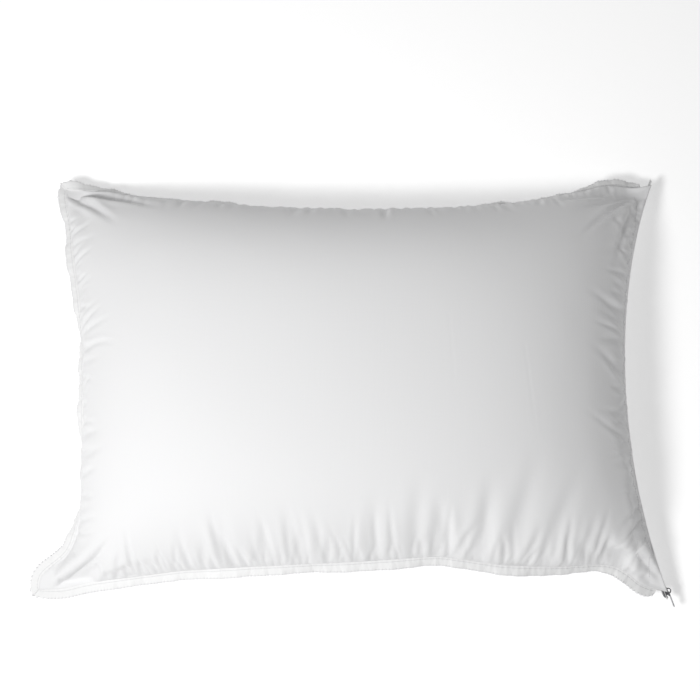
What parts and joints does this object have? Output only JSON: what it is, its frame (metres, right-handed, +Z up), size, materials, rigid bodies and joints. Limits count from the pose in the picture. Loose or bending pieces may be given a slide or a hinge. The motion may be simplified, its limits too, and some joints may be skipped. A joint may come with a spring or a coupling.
{
  "type": "bed pillow",
  "caption": "Plump rectangular bed pillow: white two-panel cover with a stitched flange hem, a coil zip on one short side, and a stuffed inner bag.",
  "frame": {"origin": "centre of the flat patch of the underside that the pillow rests on", "axes": "+Z up from the resting patch, +X along the pillow's length towards the zip side, +Y across its width, away from the closed slider"},
  "size_m": [0.682, 0.4726, 0.166],
  "materials": {
    "cover_cotton": "smooth close-woven cotton, slight sheen",
    "hem_cotton": "folded cotton hem, stitched",
    "hem_thread": "overlock thread",
    "zip_tape": "woven polyester tape",
    "zip_coil": "nylon coil",
    "zip_metal": "satin zinc",
    "bag_cloth": "thin non-woven cloth",
    "fill_fibre": "polyester fibre"
  },
  "bodies": {
    "pillow": {"cover_top_panel": "cover_cotton", "cover_bottom_panel": "cover_cotton", "hem_band_near": "hem_cotton", "hem_band_far": "hem_cotton", "hem_band_left": "hem_cotton", "hem_edge_thread_near": "hem_thread", "hem_edge_thread_far": "hem_thread", "hem_edge_thread_left": "hem_thread", "zip_tape_upper": "zip_tape", "zip_tape_lower": "zip_tape", "zip_coil_upper": "zip_coil", "zip_coil_lower": "zip_coil", "zip_top_stop_upper": "zip_metal", "zip_top_stop_lower": "zip_metal", "zip_bottom_stop": "zip_metal", "bag_top_panel": "bag_cloth", "bag_bottom_panel": "bag_cloth", "bag_seam_near": "bag_cloth", "bag_seam_far": "bag_cloth", "bag_seam_left": "bag_cloth", "bag_seam_right": "bag_cloth", "fill_core": "fill_fibre"},
    "slider": {"slider_body": "zip_metal", "slider_bail": "zip_metal"},
    "pull": {"pull_tab": "zip_metal"}
  },
  "joints": [
    {"name": "zip_slider_travel", "type": "hinge", "parent": "pillow", "child": "slider", "pos_m": [0.66701, 0, -0.23487], "axis": [-0.6114, 0, -0.7913], "range_deg": [0, 55.3]},
    {"name": "pull_swing", "type": "hinge", "parent": "slider", "child": "pull", "pos_m": [0.33348, -0.22249, 0.02437], "axis": [0.0557, -0.2849, 0.9569], "range_deg": [0, 165]}
  ]
}
